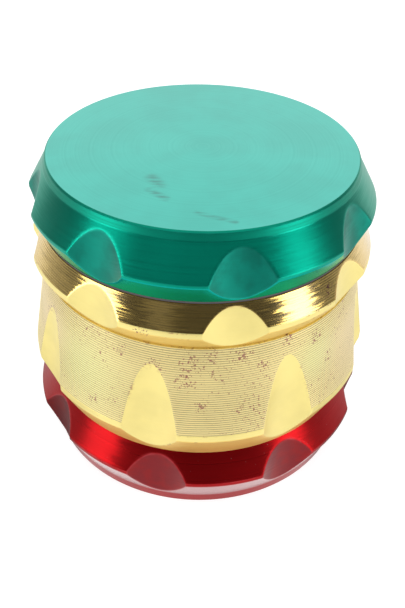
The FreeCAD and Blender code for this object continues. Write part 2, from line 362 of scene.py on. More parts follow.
class Scoop:
    """Grip scoop that a leaning round cutter leaves, repeated round a rim."""

    SHORTEST = 0.25
    FREE = 9.0
    SPREAD = 3.0
    HALVINGS = 40
    END_ROWS = (0.0, 0.2, 0.4, 0.6, 0.8)

    def __init__(self, land_radius, land, depth, radius, lean, azimuth):
        self.middle = sum(land) / 2
        self.axis_radius = land_radius - depth + radius
        self.radius = radius
        self.slope = math.tan(math.radians(lean))
        self.squash = math.cos(math.radians(lean)) ** 2
        self.azimuth = azimuth
        self.seam = azimuth - SECTOR / 2

    def axis(self, height):
        return self.axis_radius - self.slope * (height - self.middle)

    def surface(self, azimuth, height):
        """Radius of the cut surface at an azimuth from the scoop's middle, endless where there is none."""
        angle = np.radians(azimuth)
        axis = self.axis(height)
        spread = self.squash * np.cos(angle) ** 2 + np.sin(angle) ** 2
        half = axis * self.squash * np.cos(angle)
        inside = half ** 2 - spread * (axis ** 2 * self.squash - self.radius ** 2)
        return np.where(inside > 0, (half - np.sqrt(np.maximum(inside, 0))) / spread, np.inf)

    def half_width(self, radius, height):
        """Azimuth of the scoop's edge on a turned surface, nought where the cutter misses it."""
        axis = self.axis(height)
        curve = radius ** 2 * (self.squash - 1)
        slope = 2 * self.squash * radius * axis
        level = self.squash * axis ** 2 + radius ** 2 - self.radius ** 2
        cosine = 2 * level / (slope + np.sqrt(slope ** 2 - 4 * curve * level))
        return np.degrees(np.arccos(np.clip(cosine, -1, 1)))

    def with_ends(self, rows, bands, worn_and_highlit):
        """Adds rows that crowd towards the upper and the lower end of the scoop."""
        hit = self.half_width(*rows.T) > 0
        for index in reversed(np.flatnonzero(hit[:-1] != hit[1:])):
            enters = hit[index + 1]
            missed, cut = (rows[index], rows[index + 1]) if enters else (rows[index + 1], rows[index])
            inner = cut
            for _ in range(self.HALVINGS):
                middle = (missed + cut) / 2
                if self.half_width(*middle) > 0:
                    cut = middle
                else:
                    missed = middle
            added = [missed + (inner - missed) * share ** 2 for share in self.END_ROWS]
            if not enters:
                added.reverse()
            rows = np.insert(rows, index + 1, added, axis=0)
            bands = np.insert(bands, index, [bands[index]] * len(added))
            worn_and_highlit = np.insert(worn_and_highlit, index + 1, [worn_and_highlit[index]] * len(added))
        return rows, bands, worn_and_highlit

    def columns(self, rows):
        """Azimuths from the scoop's middle, row by row: one column runs along each edge of the scoop."""
        radius, height = rows.T
        width = self.half_width(radius, height)
        low, high = height[width > 0].min(), height[width > 0].max()
        away = np.maximum(np.maximum(low - height, height - high), 0)
        free = self.SHORTEST + (self.FREE - self.SHORTEST) * eased(away / self.SPREAD)
        edge = np.where(width > 0, np.maximum(width, self.SHORTEST), free)[:, None]
        inside = 1 - (1 - np.linspace(0, 1, SCOOP_COLUMNS + 1)) ** EDGE_CROWDING
        outside = np.linspace(0, 1, LAND_COLUMNS + 1)[1:] ** EDGE_CROWDING
        half = np.concatenate([edge * inside, edge + (SECTOR / 2 - edge) * outside], axis=1)
        return np.concatenate([-half[:, :0:-1], half[:, :-1]], axis=1)


def scooped_grid(piece, start, runs, scoop, scoop_finish, relief=None):
    """Outside of a section: its turned outline and the scoops in it. Returns its first and last row."""
    rows, bands, worn_and_highlit = scoop.with_ends(*outline_rows(start, runs, piece.finish))
    worn_and_highlit[[0, -1]] = 1.0
    azimuth = scoop.columns(rows)
    sunk = relief(rows)[:, None] if relief else np.zeros((len(rows), 1))
    turned = rows[:, :1] - sunk
    cut = scoop.surface(azimuth, rows[:, 1:])
    share = np.clip(0.5 + 0.5 * (cut - turned) / SCOOP_EDGE_ROUND, 0, 1)
    lower = np.where(np.isinf(cut), turned, cut)
    radius = lower * (1 - share) + turned * share - SCOOP_EDGE_ROUND * share * (1 - share)
    depth = np.where(np.isinf(cut), -1.0, turned - lower)
    # Edges of the section and of the scoops: wear, with a painted highlight
    wear_and_highlight = np.where(depth > 0, 0.0, worn_and_highlit[:, None])
    wear_and_highlight = np.maximum(wear_and_highlight, np.exp(-((depth / WORN_HIGHLIT_WIDTH) ** 2)))
    valley = np.where(depth > 0, 0.0, sunk / max(sunk.max(), LEAST_RELIEF))
    beside = np.roll(depth, -1, axis=1)
    in_scoop = depth[:-1] + depth[1:] + beside[:-1] + beside[1:] > 0
    finishes = np.where(in_scoop, scoop_finish, bands[:, None])
    sectors = [scoop.azimuth + SECTOR * index + azimuth for index in range(SCOOP_COUNT)]
    around = (1, SCOOP_COUNT)
    points = polar(np.tile(radius, around), np.concatenate(sectors, axis=1), rows[:, 1:])
    piece.grid(points, np.tile(finishes, around), np.tile(wear_and_highlight, around), np.tile(valley, around))
    return points[0], points[-1]


def thread(azimuth, height):
    """Depth of a right-hand thread below its crest."""
    from_root = np.abs((height / THREAD_PITCH - azimuth / 360.0) % 1.0 - 0.5)
    return THREAD_DEPTH * np.clip((THREAD_CREST - from_root) / THREAD_FLANK, 0, 1)


def plain_grid(piece, start, runs, mouth=-math.inf, shoulder=-math.inf):
    """Turned surface, threaded in a socket below its mouth and on a collar below its shoulder, if any.
    Returns its first and last row."""
    rows, bands, worn_and_highlit = outline_rows(start, runs, piece.finish)
    turned, height = rows[:, :1], rows[:, 1:]
    azimuth = piece.seam + azimuths(COLUMNS)
    depth = thread(azimuth, height)
    in_socket = (height > mouth - SOCKET_DEPTH + THREAD_RUN_OUT) & (height < mouth)
    on_collar = (turned > COLLAR_OUTSIDE) & (height < shoulder)
    radius = np.where(in_socket, np.maximum(turned, SOCKET_RADIUS - depth), turned)
    radius = np.where(on_collar, np.minimum(turned, THREAD_RADIUS - depth), radius)
    points = polar(radius, azimuth, height)
    piece.grid(points, bands[:, None], worn_and_highlit[:, None])
    return points[0], points[-1]


def socket_runs(mouth):
    """Runs down a threaded socket from its mouth to its floor."""
    ridge = SOCKET_RADIUS - THREAD_DEPTH
    floor = mouth - SOCKET_DEPTH
    return [
        (ridge, mouth - THREAD_DEPTH, 5),
        (ridge, floor + THREAD_RUN_OUT, 17),
        (SOCKET_RADIUS, floor + SOCKET_RELIEF, 3),
        (SOCKET_RADIUS, floor, 2),
    ]


def collar_runs(collar_foot, shoulder):
    """Runs up the outside of a threaded collar, from its foot to the shoulder above it."""
    root = THREAD_RADIUS - THREAD_DEPTH
    return [
        (THREAD_RADIUS - THREAD_CHAMFER, collar_foot, 2),
        (THREAD_RADIUS, collar_foot + THREAD_CHAMFER, 4),
        (THREAD_RADIUS, shoulder - COLLAR_RUN_OUT, 17),
        (root, shoulder - COLLAR_RELIEF, 3),
        (root, shoulder, 3),
    ]


def rounded_loop(corners, rounding):
    """Closed loop through corners, each of them cut by three points."""
    corners = np.asarray(corners, float)
    loop = []
    for index, corner in enumerate(corners):
        before, after = corners[index - 1] - corner, corners[(index + 1) % len(corners)] - corner
        start = corner + before / np.linalg.norm(before) * rounding
        end = corner + after / np.linalg.norm(after) * rounding
        loop.extend([start, (start + 2 * corner + end) / 4, end])
    return np.array(loop)


def tooth_loop(radius, azimuth, height, share):
    """Diamond outline of a tooth whose long diagonal lies along the turn."""
    middle = polar(radius, azimuth, height)
    outward = polar(TOOTH_WIDTH / 2 * share, azimuth, 0.0)
    along = polar(TOOTH_LENGTH / 2 * share, azimuth + 90.0, 0.0)
    return rounded_loop([middle + outward, middle + along, middle - outward, middle - along], TOOTH_ROUND)


def turned_loops(levels, count, centre=0.0):
    return np.stack([circle(radius, height, count, centre) for radius, height in levels])


def places_round(rings, counts):
    """Radius and azimuth of each place in rings round the axis."""
    for radius, count in zip(rings, counts):
        for index in range(count):
            yield radius, LANE_AZIMUTH + (index + 0.5) * 360.0 / count


def add_teeth(piece, rings, counts, root, tip):
    """Rings of teeth that taper from root to tip. Returns the loops where they leave the plate."""
    roots = []
    towards_tip = math.copysign(1.0, tip - root)
    levels = [
        (1.0 + ROOT_FLARE, root),
        (1.0, root + towards_tip * ROOT_HEIGHT),
        (TOOTH_TIP_SHARE, tip - towards_tip * SMALL_CHAMFER),
        (TOOTH_TIP_SHARE - TOOTH_TIP_BREAK, tip),
    ]
    for radius, azimuth in places_round(rings, counts):
        loops = np.stack([tooth_loop(radius, azimuth, height, share) for share, height in levels])
        roots.append(piece.capped(loops))
    return roots


def add_magnet_seat(piece, plate_height, end):
    """Round post with a seat for a magnet in its end. Returns the loop where it leaves the plate."""
    away = math.copysign(1.0, end - plate_height)
    loops = turned_loops([
        (POST_RADIUS + SMALL_CHAMFER / 2, plate_height),
        (POST_RADIUS, plate_height + away * SMALL_CHAMFER),
        (POST_RADIUS, end - away * SMALL_CHAMFER),
        (POST_RADIUS - SMALL_CHAMFER, end),
        (MAGNET_SEAT + SMALL_CHAMFER / 2, end),
        (MAGNET_SEAT, end - away * SMALL_CHAMFER / 2),
        (MAGNET_SEAT, end - away * MAGNET_THICKNESS),
    ], ROUND_COLUMNS)
    return piece.capped(loops)


def add_drop_holes(piece, rings, low, high):
    """Chamfered holes through the chamber floor. Returns their upper and lower loops."""
    upper, lower = [], []
    wide = DROP_HOLE_RADIUS + DROP_HOLE_CHAMFER
    levels = [
        (wide, low),
        (DROP_HOLE_RADIUS, low + DROP_HOLE_CHAMFER),
        (DROP_HOLE_RADIUS, high - DROP_HOLE_CHAMFER),
        (wide, high),
    ]
    for radius, azimuth in places_round(rings, DROP_HOLE_COUNTS):
        loops = turned_loops(levels, HOLE_COLUMNS, polar(radius, azimuth, 0.0))
        piece.grid(loops)
        lower.append(loops[0])
        upper.append(loops[-1])
    return upper, lower


# Tooth rings share the room between the post and the chamber wall, lid and chamber by turns
RING_PITCH = TOOTH_WIDTH + TOOTH_PASS_GAP
FIRST_RING = POST_RADIUS + TOOTH_PASS_GAP + TOOTH_WIDTH / 2
TOOTH_RINGS = [FIRST_RING + index * RING_PITCH for index in range(RING_COUNT)]
LID_RINGS = TOOTH_RINGS[0::2]
CHAMBER_RINGS = TOOTH_RINGS[1::2]
HOLE_RINGS = LID_RINGS[:-1] + [COLLAR_BORE - DROP_HOLE_RADIUS - DROP_HOLE_RIM]

TRAY_SCOOP = Scoop(BODY_RADIUS, TRAY_LAND, depth=2.24, radius=8.95, lean=1.9, azimuth=-13.1)
DRUM_SCOOP = Scoop(DRUM_LAND_RADIUS, DRUM_LAND, depth=2.01, radius=8.0, lean=1.5, azimuth=-15.1)
RING_SCOOP = Scoop(RING_LAND_RADIUS, RING_LAND, depth=1.95, radius=8.95, lean=0.0, azimuth=10.7)
LID_SCOOP = Scoop(LID_LAND_RADIUS, LID_LAND, depth=1.97, radius=8.95, lean=7.0, azimuth=12.4)

# Turned grooves round the drum, and the finer ones round the ring, whose depth differs from one to the next
DRUM_GROOVE_PITCH = 0.42
DRUM_GROOVE_DEPTH = 0.055
DRUM_GROOVE_SHARE = 0.25
RING_GROOVE_PITCH = 0.38
RING_GROOVE_DEPTH = 0.008
RING_GROOVE_MEAN = 0.7
RING_GROOVE_SWING = 0.3
RING_GROOVE_STEP = 7.1
GROOVE_BANDS = 4
LEAST_RELIEF = 1e-9


def groove_count(run, pitch):
    return round(math.hypot(*run) / pitch)


def powder_tray():
    """Bottom tray with a bowl under the socket for the drum."""
    piece = Piece("tray_shell", "red_inside", TRAY_SCOOP.seam)
    outer_foot, outer_top = scooped_grid(piece, (TRAY_FOOT_RADIUS, 0.0), [
        (TRAY_FLARE_RADIUS, TRAY_FOOT_HEIGHT, 12, "red_foot"),
        (BODY_RADIUS, TRAY_LAND[0], 40, "red_bevel"),
        (BODY_RADIUS, TRAY_LAND[1], 6, "red_turned"),
        (TRAY_TOP_RADIUS, TRAY_TOP, 50, "red_turned"),
    ], TRAY_SCOOP, "red_scoop")
    middle_radius = BOWL_RADIUS - BOWL_FILLET
    middle_height = BOWL_FLOOR + BOWL_FILLET
    first = math.asin((middle_height - (TRAY_TOP - SOCKET_DEPTH)) / BOWL_FILLET)
    hollow = socket_runs(TRAY_TOP)
    for angle in np.linspace(first, math.pi / 2, BOWL_STEPS):
        radius = middle_radius + BOWL_FILLET * math.cos(angle)
        hollow.append((radius, middle_height - BOWL_FILLET * math.sin(angle), 1))
    hollow.append((0.0, BOWL_FLOOR, 6))
    inner_top, _ = plain_grid(piece, (SOCKET_RADIUS, TRAY_TOP), hollow, mouth=TRAY_TOP)
    _, rim = plain_grid(piece, (0.0, 0.0), [(TRAY_FOOT_RADIUS - UNDERSIDE_RIM, 0.0, 6)])
    piece.bridge(rim, outer_foot)
    piece.bridge(outer_top, inner_top)
    piece.build("powder_tray")


def collector_drum():
    """Grooved drum with a socket above and a screwed collar below."""
    piece = Piece("drum_shell", "gold_inside", DRUM_SCOOP.seam)
    cone = (DRUM_TOP_RADIUS - DRUM_LAND_RADIUS, DRUM_TOP - DRUM_LAND[1])
    grooves = groove_count(cone, DRUM_GROOVE_PITCH)

    def relief(rows):
        turns = (rows[:, 1] - DRUM_LAND[1]) / cone[1] * grooves
        valley = 1 - np.abs(turns % 1.0 - 0.5) / DRUM_GROOVE_SHARE
        return DRUM_GROOVE_DEPTH * eased(valley) * (turns > 0)

    outer_foot, outer_top = scooped_grid(piece, (DRUM_FOOT_RADIUS, TRAY_TOP), [
        (DRUM_LAND_RADIUS, DRUM_LAND[0], 20, "gold_bevel"),
        (DRUM_LAND_RADIUS, DRUM_LAND[1], 5, "gold_land"),
        (DRUM_TOP_RADIUS, DRUM_TOP, grooves * GROOVE_BANDS, "gold_grooved"),
    ], DRUM_SCOOP, "gold_scoop", relief)
    bore = [
        (DRUM_BORE, DRUM_TOP - SOCKET_DEPTH, 1),
        (DRUM_BORE, SIEVE_BASE, 3),
        (COLLAR_BORE, SIEVE_BASE, 2),
        (COLLAR_BORE, DRUM_COLLAR_FOOT, 4),
    ]
    inside = socket_runs(DRUM_TOP) + bore + collar_runs(DRUM_COLLAR_FOOT, TRAY_TOP)
    inner_top, shoulder = plain_grid(piece, (SOCKET_RADIUS, DRUM_TOP), inside, DRUM_TOP, TRAY_TOP)
    piece.bridge(outer_top, inner_top, "gold_land")
    piece.bridge(shoulder, outer_foot)
    piece.build("collector_drum")


def grinding_chamber():
    """Bright ring with a spigot, a toothed and pierced floor, a magnet post and a screwed collar."""
    piece = Piece("chamber_shell", "gold_inside", RING_SCOOP.seam)
    cone = (RING_TOP_RADIUS - RING_LAND_RADIUS, RING_TOP - RING_LAND[1])
    grooves = groove_count(cone, RING_GROOVE_PITCH)

    def relief(rows):
        turns = (rows[:, 1] - RING_LAND[1]) / cone[1] * grooves
        uneven = RING_GROOVE_MEAN + RING_GROOVE_SWING * np.sin(RING_GROOVE_STEP * np.floor(turns))
        return RING_GROOVE_DEPTH * uneven * (1 - 2 * np.abs(turns % 1.0 - 0.5)) * (turns > 0)

    outer_foot, outer_top = scooped_grid(piece, (RING_FOOT_RADIUS, DRUM_TOP), [
        (RING_LAND_RADIUS, RING_LAND[0], 30, "gold_bevel"),
        (RING_LAND_RADIUS, RING_LAND[1], 8, "gold_land"),
        (RING_TOP_RADIUS, RING_TOP, grooves * GROOVE_BANDS, "gold_mirror"),
    ], RING_SCOOP, "gold_scoop", relief)
    inner_top, wall_foot = plain_grid(piece, (SPIGOT_RADIUS, RING_TOP), [
        (SPIGOT_RADIUS, SPIGOT_TOP - SPIGOT_LEAD_IN, 6),
        (SPIGOT_RADIUS - SPIGOT_LEAD_IN, SPIGOT_TOP, 2),
        (CHAMBER_RADIUS + SMALL_CHAMFER, SPIGOT_TOP, 2),
        (CHAMBER_RADIUS, SPIGOT_TOP - SMALL_CHAMFER, 1),
        (CHAMBER_RADIUS, FLOOR_TOP, 10),
    ])
    collar = [(COLLAR_BORE, CHAMBER_COLLAR_FOOT, 4)] + collar_runs(CHAMBER_COLLAR_FOOT, DRUM_TOP)
    passage, shoulder = plain_grid(piece, (COLLAR_BORE, DRUM_TOP), collar, shoulder=DRUM_TOP)
    piece.bridge(outer_top, inner_top)
    piece.bridge(shoulder, outer_foot)
    roots = add_teeth(piece, CHAMBER_RINGS, CHAMBER_TOOTH_COUNTS, FLOOR_TOP, CHAMBER_TOOTH_TIP)
    post = add_magnet_seat(piece, FLOOR_TOP, POST_TOP)
    upper, lower = add_drop_holes(piece, HOLE_RINGS, DRUM_TOP, FLOOR_TOP)
    piece.plate([wall_foot, post] + roots + upper)
    piece.plate([passage] + lower)
    piece.build("grinding_chamber")


def lid():
    """Green cap with hanging teeth and a boss for its magnet."""
    piece = Piece("lid_shell", "green_inside", LID_SCOOP.seam)
    outer_foot, outer_top = scooped_grid(piece, (LID_FOOT_RADIUS, LID_BASE), [
        (LID_LAND_RADIUS, LID_LAND[0], 34, "green_bevel"),
        (LID_LAND_RADIUS, LID_LAND[1], 5, "green_turned"),
        (LID_SHOULDER_RADIUS, LID_TOP - LID_BAND_HEIGHT, 52, "green_turned"),
        (LID_TOP_RADIUS, LID_TOP - LID_EDGE_BREAK, 8, "green_band"),
        (LID_TOP_RADIUS - LID_EDGE_BREAK, LID_TOP, 2, "green_band"),
    ], LID_SCOOP, "green_scoop")
    face = [(0.0, LID_TOP, 12, "green_top")]
    face_edge, _ = plain_grid(piece, (LID_TOP_RADIUS - LID_FACE_RIM, LID_TOP), face)
    skirt_foot, skirt_top = plain_grid(piece, (SKIRT_RADIUS + SMALL_CHAMFER, LID_BASE), [
        (SKIRT_RADIUS, LID_BASE + SMALL_CHAMFER, 1),
        (SKIRT_RADIUS, LID_CEILING, 8),
    ])
    piece.bridge(outer_top, face_edge, "green_top")
    piece.bridge(skirt_foot, outer_foot)
    roots = add_teeth(piece, LID_RINGS, LID_TOOTH_COUNTS, LID_CEILING, LID_TOOTH_TIP)
    boss = add_magnet_seat(piece, LID_CEILING, BOSS_FOOT)
    piece.plate([skirt_top, boss] + roots)
    piece.build("lid")


def ring_section(inner, outer, low, high):
    """Corners (radius, height) of a flat ring's section."""
    return np.array([(inner, low), (outer, low), (outer, high), (inner, high)])


def revolve(piece, loop, finish):
    """Ring that a closed loop of radii and heights makes round the axis."""
    closed = np.concatenate([loop, loop[:1]])
    piece.grid(polar(closed[:, :1], azimuths(COLUMNS), closed[:, 1:]), finish)


def turned_ring(name, node, finish, inner, rounding):
    """Washer with rounded edges, whose finish and slot have the same name."""
    piece = Piece(name, finish)
    section = ring_section(inner, reach(node), foot(node), top(node))
    revolve(piece, rounded_loop(section, rounding), finish)
    piece.build(node)


def magnet(name, node):
    """Nickel-plated disc with chamfered edges."""
    low, high = foot(node), top(node)
    loops = turned_loops([
        (MAGNET_RADIUS - SMALL_CHAMFER, low),
        (MAGNET_RADIUS, low + SMALL_CHAMFER),
        (MAGNET_RADIUS, high - SMALL_CHAMFER),
        (MAGNET_RADIUS - SMALL_CHAMFER, high),
    ], ROUND_COLUMNS)
    piece = Piece(name, "nickel")
    piece.cap(piece.capped(loops))
    piece.build(node)


# Woven sieve: wires that pass over and under one another inside a flat rim
WIRE_PITCH = 1.0
WIRE_RADIUS = 0.07
WIRE_SIDES = 6
WIRE_STEPS = 4
WIRE_OVERLAP = 0.3
SIEVE_RIM = 2.2


def sieve_mesh():
    piece = Piece("woven_sieve", "steel_mesh")
    middle = (SIEVE_BASE + SIEVE_TOP) / 2
    rim_inner = SIEVE_RADIUS - SIEVE_RIM
    revolve(piece, ring_section(rim_inner, SIEVE_RADIUS, SIEVE_BASE, SIEVE_TOP), "steel_ring")
    turn = np.arange(WIRE_SIDES) * 2 * math.pi / WIRE_SIDES
    count = int(rim_inner / WIRE_PITCH)
    for index in range(-count, count + 1):
        across = index * WIRE_PITCH
        reach_along = math.sqrt((rim_inner + WIRE_OVERLAP) ** 2 - across ** 2)
        along = np.linspace(-reach_along, reach_along, 2 * WIRE_STEPS * int(reach_along / WIRE_PITCH) + 1)
        for direction in (0, 1):
            wave = np.cos(math.pi * (along / WIRE_PITCH + index + direction)) * WIRE_RADIUS
            ring = np.empty((len(along), WIRE_SIDES, 3))
            ring[:, :, direction] = along[:, None]
            ring[:, :, 1 - direction] = across + WIRE_RADIUS * np.cos(turn)
            ring[:, :, 2] = middle + wave[:, None] + WIRE_RADIUS * np.sin(turn)
            piece.cap(piece.capped(ring))
    piece.build("sieve_mesh")


class Nodes:
    """Node tree written as nested calls: each adds a node and returns one of its outputs."""

    def __init__(self, tree):
        self.tree = tree

    def add(self, kind, inputs=None, output=0, **settings):
        made = self.tree.nodes.new("ShaderNode" + kind)
        for name, value in settings.items():
            setattr(made, name, value)
        self.fill(made, inputs or {})
        return made.outputs[output]

    def fill(self, node, inputs):
        """Links or sets inputs of a node."""
        for socket, value in inputs.items():
            if isinstance(value, bpy.types.NodeSocket):
                self.tree.links.new(value, node.inputs[socket])
            else:
                node.inputs[socket].default_value = value

    def show(self, kind, shader):
        self.fill(self.tree.nodes.new("ShaderNodeOutput" + kind), {"Surface": shader})

    def math(self, operation, first, second=0.0, third=0.0):
        return self.add("Math", {0: first, 1: second, 2: third}, operation=operation)

    def vector(self, operation, first, second, output="Vector"):
        return self.add("VectorMath", {0: first, 1: second}, output, operation=operation)

    def stretched(self, vector, share):
        return self.add("VectorMath", {0: vector, "Scale": share}, operation="SCALE")

    def axes(self, vector):
        return self.add("SeparateXYZ", {0: vector}).node.outputs

    def place(self):
        return self.add("TexCoord", output="Object")

    def trait(self, name):
        return self.add("Attribute", output="Fac", attribute_name=name)

    def mix(self, share, dye, colour):
        return self.add("Mix", {0: share, 6: dye, 7: rgba(colour)}, 2, data_type="RGBA")

    def span(self, value, low, high, start=0.0, end=1.0):
        """Value carried smoothly from one range to another."""
        inputs = {0: value, 1: low, 2: high, 3: start, 4: end}
        return self.add("MapRange", inputs, interpolation_type="SMOOTHSTEP")

    def noise(self, vector, scale, detail=2.0):
        return self.add("TexNoise", {"Vector": vector, "Scale": scale, "Detail": detail})

    def clouds(self, vector, scale, low, high, start=0.0, end=1.0, detail=2.0):
        """Noise carried from a range of its own to another."""
        return self.span(self.noise(vector, scale, detail), low, high, start, end)


# Colours of the dyes, of what lies on them, of painted reflections, highlights and shade on them, and of
# the other metals
WHITE = (1.0, 1.0, 1.0)
GREEN = (0.0, 0.36, 0.24)
BLASTED_GREEN = (0.04, 0.57, 0.47)
BEVEL_GREEN = (0.0, 0.33, 0.29)
SCOOP_GREEN = (0.0, 0.26, 0.19)
# Paler edge green: rubbed wear, and a painted highlight along the edges
GREEN_WORN_HIGHLIT_EDGE = (0.01, 0.39, 0.28)
GREEN_GLANCE = (0.45, 0.95, 0.9)
SMEAR_GREEN = (0.01, 0.09, 0.08)
GOLD = (0.85, 0.59, 0.15)
BEVEL_GOLD = (0.94, 0.67, 0.17)
PALE_GOLD = (0.96, 0.81, 0.28)
DRUM_GOLD = (0.92, 0.76, 0.32)
# Greener and pinker gold: painted reflections on the drum, not dye
GREENER_REFLECTION_GOLD = (0.84, 0.80, 0.34)
PINKER_REFLECTION_GOLD = (0.95, 0.77, 0.42)
# Colour in the groove bottoms: grime, and painted shade
GROOVE_GRIME_AND_SHADE = (0.26, 0.20, 0.08)
SPECK_BROWN = (0.32, 0.11, 0.08)
RED = (0.38, 0.005, 0.007)
SCOOP_RED = (0.22, 0.006, 0.010)
# Paler edge red: rubbed wear, and a painted highlight along the edges
RED_WORN_HIGHLIT_EDGE = (0.50, 0.06, 0.07)
DUST = (0.50, 0.35, 0.35)
STEEL_WIRE = (0.60, 0.59, 0.56)
SPRING_STEEL = (0.58, 0.57, 0.55)
NICKEL = (0.70, 0.66, 0.60)
WASHER_GREY = (0.11, 0.095, 0.105)
WASHER_DARK = (0.05, 0.045, 0.05)

# Shares of a colour that are left in a dye's clouds, in turning lines and in the grain of bare metal
CLOUD_SHADE = 0.92
LINE_SHADE = 0.6
GRAIN_SHADE = 0.75

# Turning lines per millimetre, and the cells per metre of each noise
DYE_LINES = 2.4
WASHER_LINES = 5.0
DYE_CLOUDS = 150.0
SATIN_GRAIN = 3000.0
SWAYING_LINES = (250.0, 250.0, 4500.0)
RUBBED_EDGES = 500.0
CHIPPED_STRETCHES = 110.0
CHIPS = 1500.0
BLOTCHES = 320.0
SPECK_THICKETS = 90.0
RAGGED_SPECKS = 4500.0
SMEAR_HATCHING = 1700.0
DUST_GRAINS = 2400.0

# Noise above which there is dust, how pale it is, and how much rougher the grain of bare metal is
DUST_LEVEL = 0.78
DUST_SHARE = 0.4
GRAIN_ROUGHER = 1.4

# Spread of the roughness, a quarter turn for the streaks and the index of the coat
ROUGHNESS_SPREAD = 0.15
ACROSS_LINES = 0.25
COAT_IOR = 1.6

MATERIALS = {}


def rgba(colour):
    return (*colour, 1.0)


def scaled(colour, share):
    return tuple(channel * share for channel in colour)


def surface(name):
    """New material, kept by its name. Returns its tree and its shader."""
    material = bpy.data.materials.new(name)
    material.use_nodes = True
    MATERIALS[name] = material
    return Nodes(material.node_tree), material.node_tree.nodes["Principled BSDF"]


def turned_lines(nodes, per_mm):
    """Uneven fine lines round the axis, as a turning tool leaves them, from 0 to 1."""
    place = nodes.place()
    flat = nodes.vector("MULTIPLY", place, (1.0, 1.0, 0.0))
    radius = nodes.vector("DISTANCE", flat, (0.0, 0.0, 0.0), "Value")
    across = nodes.math("SUBTRACT", nodes.axes(place)["Z"], radius)
    inputs = {"W": across, "Scale": per_mm / MM, "Detail": 4.0, "Roughness": 0.65}
    return nodes.add("TexNoise", inputs, noise_dimensions="1D")


def anodised(
    name, colour, roughness, streak=0.0, lines=0.0, grain=0.0, sway=0.0, tone=0.1, coat=0.05, metallic=1.0,
    glance=WHITE, marks=(),
):
    """Dyed anodised aluminium. Turning lines and grain are heights in millimetres. The streak is how far
    reflections stretch across the lines, the sway how far a line throws them aside, the tone how dark the
    lines are and the glance the tint of reflections at a low angle."""
    nodes, shader = surface(name)
    place = nodes.place()
    turned = turned_lines(nodes, DYE_LINES)
    cloud = nodes.clouds(place, DYE_CLOUDS, 0.35, 0.7, detail=4.0)
    dye = nodes.mix(cloud, rgba(colour), scaled(colour, CLOUD_SHADE))
    if lines:
        dye = nodes.mix(nodes.span(turned, 0.4, 0.75, 0.0, tone), dye, scaled(colour, LINE_SHADE))
    for mark in marks:
        dye = mark(nodes, place, dye)
    spread = roughness * (1 - ROUGHNESS_SPREAD), roughness * (1 + ROUGHNESS_SPREAD)
    height = nodes.math("MULTIPLY", turned, lines)
    height = nodes.math("MULTIPLY_ADD", nodes.noise(place, SATIN_GRAIN), grain, height)
    relief = {"Height": height, "Distance": MM}
    around = nodes.add("Tangent", direction_type="RADIAL", axis="Z")
    if sway:
        line = nodes.vector("MULTIPLY", place, SWAYING_LINES)
        aside = nodes.stretched(around, nodes.clouds(line, 1.0, 0.25, 0.75, -sway, sway, detail=4.0))
        relief["Normal"] = nodes.vector("ADD", nodes.add("NewGeometry", output="Normal"), aside)
    nodes.fill(shader, {
        "Base Color": dye, "Metallic": metallic, "Specular Tint": rgba(glance),
        "Roughness": nodes.span(turned, 0.2, 0.8, *spread), "Normal": nodes.add("Bump", relief, "Normal"),
        "Tangent": around, "Anisotropic": streak, "Anisotropic Rotation": ACROSS_LINES,
        "Coat Weight": coat, "Coat Roughness": roughness, "Coat IOR": COAT_IOR,
    })


# Marks: each takes the dye so far, at a place, and returns it with the mark in it
def worn_highlit_edges(colour, nodes, place, dye):
    """Edges that are rubbed paler, with a painted highlight along them."""
    rubbed_and_highlit = nodes.clouds(place, RUBBED_EDGES, 0.35, 0.65, 0.1, 0.6, detail=3.0)
    return nodes.mix(nodes.math("MULTIPLY", nodes.trait("worn_and_highlit"), rubbed_and_highlit), dye, colour)


def chipped_edges(nodes, place, dye):
    """Red-brown chips along some stretches of the edges."""
    stretch = nodes.clouds(place, CHIPPED_STRETCHES, 0.48, 0.6)
    chips = nodes.clouds(place, CHIPS, 0.5, 0.65, 0.0, 0.75, detail=3.0)
    here = nodes.math("MULTIPLY", nodes.math("MULTIPLY", nodes.trait("worn_and_highlit"), stretch), chips)
    return nodes.mix(here, dye, SPECK_BROWN)


def painted_valley_shade(nodes, place, dye):
    """Darkens the bottoms of the turned grooves: grime, and painted shade in the recesses."""
    deep = nodes.span(nodes.trait("valley"), 0.15, 0.8, 0.0, 0.95)
    return nodes.mix(deep, dye, GROOVE_GRIME_AND_SHADE)


def mottled(colour, nodes, place, dye):
    """Blotches of another shade."""
    return nodes.mix(nodes.clouds(place, BLOTCHES, 0.4, 0.65, detail=5.0), dye, colour)


# Patches (azimuth, height, radius) where specks gather on the gold, and where the drum is painted greener
# or pinker as painted reflections of the lamps and the room
SPECK_PATCHES = (
    (-3.0, 33.2, 3.6), (-4.0, 30.2, 3.6), (4.0, 34.6, 3.0), (14.0, 34.4, 3.6), (21.0, 32.0, 2.4),
    (30.0, 35.2, 2.6), (42.0, 33.4, 3.2), (47.5, 28.0, 2.2), (1.0, 25.5, 2.6), (13.0, 24.5, 2.2),
    (-14.0, 32.0, 3.0), (-26.0, 33.5, 2.4), (-36.0, 22.0, 2.6), (-62.0, 31.0, 3.0), (24.0, 20.5, 2.2),
    (44.5, 42.4, 2.2), (-17.0, 39.6, 2.2), (-31.0, 40.2, 1.6), (33.0, 36.8, 1.8),
)
GREENER_REFLECTION_PATCHES = ((-40.0, 27.0, 13.0), (43.0, 29.5, 8.0))
PINKER_REFLECTION_PATCHES = ((-66.0, 30.0, 11.0), (62.0, 27.0, 13.0))

# Heights and radii at the corners of the two gold sections
GOLD_LEVELS = (DRUM_LAND[1], DRUM_TOP, *RING_LAND, RING_TOP)
GOLD_RADII = (DRUM_LAND_RADIUS, DRUM_TOP_RADIUS, RING_LAND_RADIUS, RING_LAND_RADIUS, RING_TOP_RADIUS)


